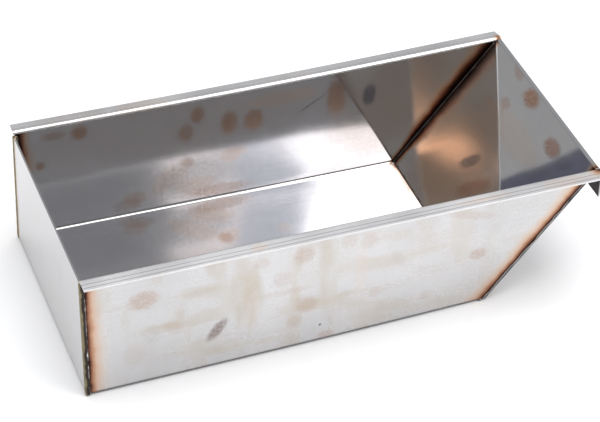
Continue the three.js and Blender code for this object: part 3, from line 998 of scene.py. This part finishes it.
# %% [markdown]
# ## The rolled lip
# Above the sloped end the sheet rolls over and hangs down, which makes a smooth edge to wipe a knife on and
# something to hook fingers behind. The hanging leg is laid first, and its top row is rolled back over the
# rim until it lies along the slope. Below the flanges the leg is pulled out sideways, because the real one
# runs on past the walls.

# %% Rolled lip
LIP_TOP = RIM_Z - 3.5 * MM
LIP_EAR_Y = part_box("rolled_lip")[0][1]
LEG_ROWS = 6


def make_lip():
    leg_x = LIP_X - SHEET
    near_y, far_y = FRONT_Y + SHEET + 0.2 * MM, BACK_Y - SHEET - 0.2 * MM
    rows_below = (LEG_ROWS - 1) / LEG_ROWS

    def place(u, v):
        below = min(v / rows_below, 1)
        above = max((v - rows_below) * LEG_ROWS, 0)
        z = LIP_FOOT + below * (LIP_TOP - LIP_FOOT) + above * (rim_roll_z - LIP_TOP)
        return Vector((leg_x, near_y + u * (far_y - near_y), z))

    bm = skin(32, LEG_ROWS, place)
    ear = near_y - LIP_EAR_Y
    for edge_y, out in ((near_y, -1), (far_y, 1)):
        side = edges_where(bm, lambda co: abs(co.y - edge_y) < 0.01 * MM and co.z < LIP_TOP + 0.01 * MM)
        pull(bm, side, Vector((0, out * ear, 0)))
    top = edges_where(bm, lambda co: abs(co.z - rim_roll_z) < 0.01 * MM)
    roll(bm, top, (rim_x, 0, rim_roll_z), (0, 1, 0), -(QUARTER + SLOPE), steps=14)
    face_outwards(bm, Vector((-1, 0, 0)))
    bmesh.ops.translate(bm, vec=(-EASE_ROOM, 0, -EASE_ROOM / 3), verts=bm.verts)
    thicken(new_piece("rolled_lip_sheet", bm, "rolled_lip", lip_steel))


make_lip()

# %% [markdown]
# ## Weld beads
# A hand-run bead is a row of overlapping puddles: crescents about a millimetre apart, with an edge that
# wanders. It starts here as a circle that is pulled along the seam in short steps. Then each ring is given
# the bead's section, proud and round outside and a thin root inside, and the crescents are pressed into it.

# %% A bead along a corner
RING_STEP = 0.4 * MM
OFF_BENCH = 0.02 * MM  # no bead or spot reaches the surface under the pan
PROUD = 0.68  # the most that a bead stands out from a face, in millimetres


def bead_radius(angle, along, seed, body, root, lumps):
    """Distance from the bead's middle, in millimetres. The corner points outward at 45 degrees."""
    outward = math.cos(angle - math.pi / 4)
    swell = clamp((outward + 0.1) / 1.1) ** 0.7
    radius = root + (body - root) * swell
    crescent = abs(math.sin(math.pi * (along / (RIPPLE_PITCH * MM) + 0.7 * (1 - outward))))
    wander = noise.noise(Vector((along * 260, seed, 2 * angle)))
    return radius * (1 + 0.07 * lumps * wander) + 0.12 * lumps * (crescent - 1) * max(outward, 0)


def make_bead(name, node, foot, head, normal_a, normal_b, seed, material, depth, body, root, lumps):
    """A bead from foot to head. depth sinks it into the corner, body and root are its radii outside and
    inside, and lumps is how uneven the hand was."""
    length = (head - foot).length
    rings = max(int(length / RING_STEP), 2)
    bm = bmesh.new()
    bmesh.ops.create_circle(bm, segments=32, radius=1)
    edges = bm.edges[:]
    pull(bm, edges, Vector((0, 0, length / rings)), rings)
    round_bead = bm.verts.layers.float.new("round_bead")
    along_bead = bm.verts.layers.float.new("along_bead")
    for vert in bm.verts:
        angle = math.atan2(vert.co.y, vert.co.x)
        along = vert.co.z
        end = min(along, length - along)
        taper = math.sqrt(clamp(1 - (1 - clamp(end / (1.5 * MM))) ** 2, 0.04))
        radius = bead_radius(angle, along, seed, body, root, lumps) * taper
        from_corner = abs((angle - math.pi / 4 + math.pi) % (2 * math.pi) - math.pi)
        side = 1 if (angle - math.pi / 4) % (2 * math.pi) < math.pi else -1
        vert[round_bead] = 0.5 + 0.5 * side * from_corner / math.pi
        vert[along_bead] = along / MM
        vert.co.x = min(radius * math.cos(angle) - depth, PROUD) * MM
        vert.co.y = min(radius * math.sin(angle) - depth, PROUD) * MM
    bmesh.ops.holes_fill(bm, edges=[edge for edge in bm.edges if edge.is_boundary], sides=0)
    basis = Matrix((normal_a, normal_b, (head - foot).normalized())).transposed().to_4x4()
    bmesh.ops.transform(bm, matrix=Matrix.Translation(foot) @ basis, verts=bm.verts)
    for vert in bm.verts:
        vert.co.z = max(vert.co.z, OFF_BENCH)
    bmesh.ops.recalc_face_normals(bm, faces=bm.faces)
    new_piece(name, bm, node, material, creases=70)


for name, (out, face_y) in sides.items():
    outward = Vector((0, out, 0))
    make_bead(f"{name}_upright_bead", f"upright_weld_{name}", Vector((UPRIGHT_X, face_y, 0.1 * MM)),
              Vector((UPRIGHT_X, face_y, UPRIGHT_TOP + 0.6 * MM)), Vector((-1, 0, 0)), outward, 3 + out,
              upright_weld, depth=1.95, body=2.9, root=1.1, lumps=1.0)
    foot = Vector((FOLD_X, face_y, 0)) + RISE * 0.3 * MM
    head = Vector((FOLD_X, face_y, 0)) + RISE * (SLOPE_LENGTH - 2.5 * MM)
    make_bead(f"{name}_slope_bead", f"slope_weld_{name}", foot, head, UNDERSIDE, outward, 8 + out,
              slope_weld, depth=1.35, body=1.95, root=1.35, lumps=0.35)

# %% [markdown]
# ## Rim welds and corner spots
# A short weld closes the notch between each flange and the rolled rim, and follows the roll. A puddle
# closes the relief at each corner of the floor, where three folds meet. The first is a circle rolled round
# the rim's axis, and the second a small sphere that is flattened and pitted.

# %% Rim welds
RIM_BEAD = 0.95 * MM


def make_rim_weld(name, out, face_y):
    bm = bmesh.new()
    middle = Vector((rim_x + RIM_ROLL - RIM_BEAD, face_y - out * (SHEET + 0.2 * MM), rim_roll_z))
    bmesh.ops.create_circle(bm, segments=16, radius=RIM_BEAD, cap_ends=False)
    bmesh.ops.translate(bm, vec=middle, verts=bm.verts)
    bmesh.ops.spin(bm, geom=bm.edges[:], cent=(rim_x, 0, rim_roll_z), axis=(0, 1, 0),
                   angle=-(QUARTER + SLOPE * 0.9), steps=24, use_duplicate=False)
    bmesh.ops.holes_fill(bm, edges=[edge for edge in bm.edges if edge.is_boundary], sides=0)
    for vert in bm.verts:
        vert.co.y += 0.12 * MM * math.sin(vert.co.x / MM * 4)
    bmesh.ops.recalc_face_normals(bm, faces=bm.faces)
    new_piece(f"{name}_rim_bead", bm, f"rim_weld_{name}", small_weld, creases=70)


for name, (out, face_y) in sides.items():
    make_rim_weld(name, out, face_y)

# %% Corner spots
SPOT = 2.3 * MM


def make_spot(name, node, x, y):
    bm = bmesh.new()
    bmesh.ops.create_uvsphere(bm, u_segments=20, v_segments=12, radius=SPOT)
    bmesh.ops.scale(bm, vec=(1, 1, 0.42), verts=bm.verts)
    for vert in bm.verts:
        vert.co *= 1 + 0.12 * noise.noise(vert.co * 900 + Vector((x, y, 0)) * 50)
    bmesh.ops.translate(bm, vec=(x, y, 1.0 * MM), verts=bm.verts)
    for vert in bm.verts:
        vert.co.z = max(vert.co.z, OFF_BENCH)
    bmesh.ops.recalc_face_normals(bm, faces=bm.faces)
    new_piece(name, bm, node, small_weld, creases=70)


SPOT_INSET = 1.9 * MM
for name, (out, face_y) in sides.items():
    y = face_y - out * SPOT_INSET
    make_spot(f"{name}_upright_spot", f"corner_spot_{name}_upright", UPRIGHT_X + SPOT_INSET, y)
    make_spot(f"{name}_slope_spot", f"corner_spot_{name}_sloped", FOLD_X - SPOT_INSET, y)

# %% [markdown]
# ## The studio
# Polished steel shows the room more than itself. The pan stands on a pale sweep under broad soft lights.
# The camera looks down on its long side from the front left, with a long lens, so the walls stay nearly
# parallel.

# %% Camera
AZIMUTH, ELEVATION, ROLL = math.radians(-21.55), math.radians(38.89), math.radians(1.93)
DISTANCE = 1.535
AIM = Vector((-2.7, -0.6, 43.6)) * MM
back_to_camera = Vector((math.sin(AZIMUTH) * math.cos(ELEVATION), -math.cos(AZIMUTH) * math.cos(ELEVATION),
                         math.sin(ELEVATION)))
camera_data = bpy.data.cameras.new("camera")
camera_data.lens = 137.0
camera_data.sensor_width = 36
camera = bpy.data.objects.new("camera", camera_data)
bpy.context.scene.collection.objects.link(camera)
turn = back_to_camera.to_track_quat("Z", "Y").to_matrix().to_4x4() @ Matrix.Rotation(ROLL, 4, "Z")
camera.matrix_world = Matrix.Translation(AIM + back_to_camera * DISTANCE) @ turn
bpy.context.scene.camera = camera
print("camera", DISTANCE, "m from the pan's middle, lens", camera_data.lens, "mm")


# %% Floor
def stage_sheet(name, bm, colour, shows=True):
    """A dull sheet that belongs to the studio and not to the pan."""
    mesh = bpy.data.meshes.new(name)
    bm.to_mesh(mesh)
    bm.free()
    sheet = bpy.data.objects.new(name, mesh)
    bpy.context.scene.collection.objects.link(sheet)
    material = bpy.data.materials.new(name)
    material.use_nodes = True
    material.node_tree.nodes["Principled BSDF"].inputs["Base Color"].default_value = (*colour, 1)
    material.node_tree.nodes["Principled BSDF"].inputs["Roughness"].default_value = 0.9
    mesh.materials.append(material)
    sheet.visible_camera = shows


PALE_SWEEP = (0.93, 0.93, 0.935)
HALF_SWEEP = 4.0
sweep = bmesh.new()
bmesh.ops.create_grid(sweep, x_segments=1, y_segments=1, size=HALF_SWEEP)
stage_sheet("studio_floor", sweep, PALE_SWEEP)

# %% [markdown]
# ## Softboxes
# The floor and the long walls of the pan mirror what stands in front of it, so the key light is not one box
# but several panels side by side. Bright ones make the white half of the floor, and shaded ones beside them
# make its grey half and the edge between the two. One big textured light would do the same, but it would
# need an image.

# %% The key light's panels
KEY_AZIMUTH, KEY_ELEVATION, KEY_DISTANCE = math.radians(21.6), math.radians(39), 1.3
key_direction = Vector((math.sin(KEY_AZIMUTH) * math.cos(KEY_ELEVATION),
                        -math.cos(KEY_AZIMUTH) * math.cos(KEY_ELEVATION), math.sin(KEY_ELEVATION)))
key_across = Vector((math.cos(KEY_AZIMUTH), math.sin(KEY_AZIMUTH), 0))
key_up = key_direction.cross(key_across)
WHITE, CREAM, WARM, COOL = (1, 1, 1), (1.0, 0.975, 0.955), (1.0, 0.92, 0.87), (0.80, 0.88, 1.0)


def soft_light(name, place, towards, wide, high, radiance, colour=WHITE):
    """A softbox whose power follows from its size, so that its brightness can be set on its own."""
    light = bpy.data.lights.new(name, "AREA")
    light.shape = "RECTANGLE"
    light.size, light.size_y = wide, high
    light.energy = radiance * math.pi * wide * high
    light.color = colour
    lamp = bpy.data.objects.new(name, light)
    bpy.context.scene.collection.objects.link(lamp)
    facing = (Vector(place) - Vector(towards)).to_track_quat("Z", "Y").to_matrix().to_4x4()
    lamp.matrix_world = Matrix.Translation(place) @ facing
    print("set up", name)


def key_panel(name, left, right, low, high, radiance, colour):
    """A softbox facing the pan, between edges given in metres across and up from the key direction."""
    place = key_direction * KEY_DISTANCE + key_across * (left + right) / 2 + key_up * (low + high) / 2
    soft_light(name, place, place - key_direction, right - left, high - low, radiance, colour)


key_panel("key softbox", 0.050, 0.95, 0.020, 0.50, 3.0, WHITE)
key_panel("key softbox, middle", 0.028, 0.95, 0.004, 0.020, 2.6, WHITE)
key_panel("key softbox, foot", -0.075, 0.95, -0.350, 0.004, 2.1, CREAM)
key_panel("shaded middle", -0.040, 0.028, 0.004, 0.020, 0.75, COOL)
key_panel("shaded edge", -0.055, 0.050, 0.020, 0.50, 0.60, COOL)
key_panel("bounce beside the shade, low", -0.125, -0.040, 0.004, 0.020, 0.80, WARM)
key_panel("bounce beside the shade, high", -0.145, -0.055, 0.020, 0.105, 1.10, WARM)
key_panel("bounce beside the shade, top", -0.095, -0.055, 0.105, 0.130, 1.10, WARM)

# %% Overhead box, fill and sky
soft_light("overhead softbox", (0.0, 0.1, 1.9), (0, 0.1, 0), 2.0, 2.0, 3.2)
soft_light("left fill", (-1.5, 0.0, 0.75), (-0.2, 0, 0.05), 0.8, 0.7, 1.6)
world = bpy.data.worlds.new("studio")
bpy.context.scene.world = world
world.use_nodes = True
world.node_tree.nodes["Background"].inputs["Color"].default_value = (0.94, 0.965, 1.0, 1)
world.node_tree.nodes["Background"].inputs["Strength"].default_value = 0.39
bpy.context.scene.view_settings.view_transform = "Standard"
bpy.context.scene.view_settings.look = "None"

# %% [markdown]
# ## Cards and a warm lamp
# The sloped end mirrors the side of the room where the camera stands. A brown card with a darker one above
# it gives it its brown half, a small warm lamp with a fainter halo gives it the glow, and a narrow dark
# card behind the pan gives it the slanting dark wedge. The cards show only in reflections, so that none of
# them hides the pan when it is looked at from behind.

# %% Cards and the lamp
def card(name, left, right, low, high, colour):
    """An upright sheet of card between two points on the floor, from one height to another."""
    foot, far_foot = Vector((*left, 0)), Vector((*right, 0))
    sheet = skin(1, 1, lambda u, v: foot.lerp(far_foot, u) + Vector((0, 0, low + v * (high - low))))
    stage_sheet(name, sheet, colour, shows=False)


card("narrow dark card", (-0.421, 0.605), (-0.458, 0.5715), 0.0, 0.46, (0.05, 0.055, 0.095))
card("brown card at the camera side", (-0.55, -1.25), (-1.15, -0.65), 0.0, 0.54, (0.27, 0.205, 0.155))
card("darker card above it", (-0.55, -1.25), (-1.15, -0.65), 0.54, 0.70, (0.18, 0.145, 0.12))
GLOW_PLACE = Vector((-0.795, -0.985, 0.508))
GLOW_FACING = Vector((1, 1, -0.35))
HALO_BEHIND = Vector((0.01, 0.01, 0))
soft_light("warm glow", GLOW_PLACE, GLOW_PLACE + GLOW_FACING, 0.045, 0.045, 2.173, (1.0, 0.60, 0.38))
soft_light("warm halo", GLOW_PLACE - HALO_BEHIND, GLOW_PLACE + GLOW_FACING, 0.11, 0.09, 0.12,
           (1.0, 0.66, 0.45))
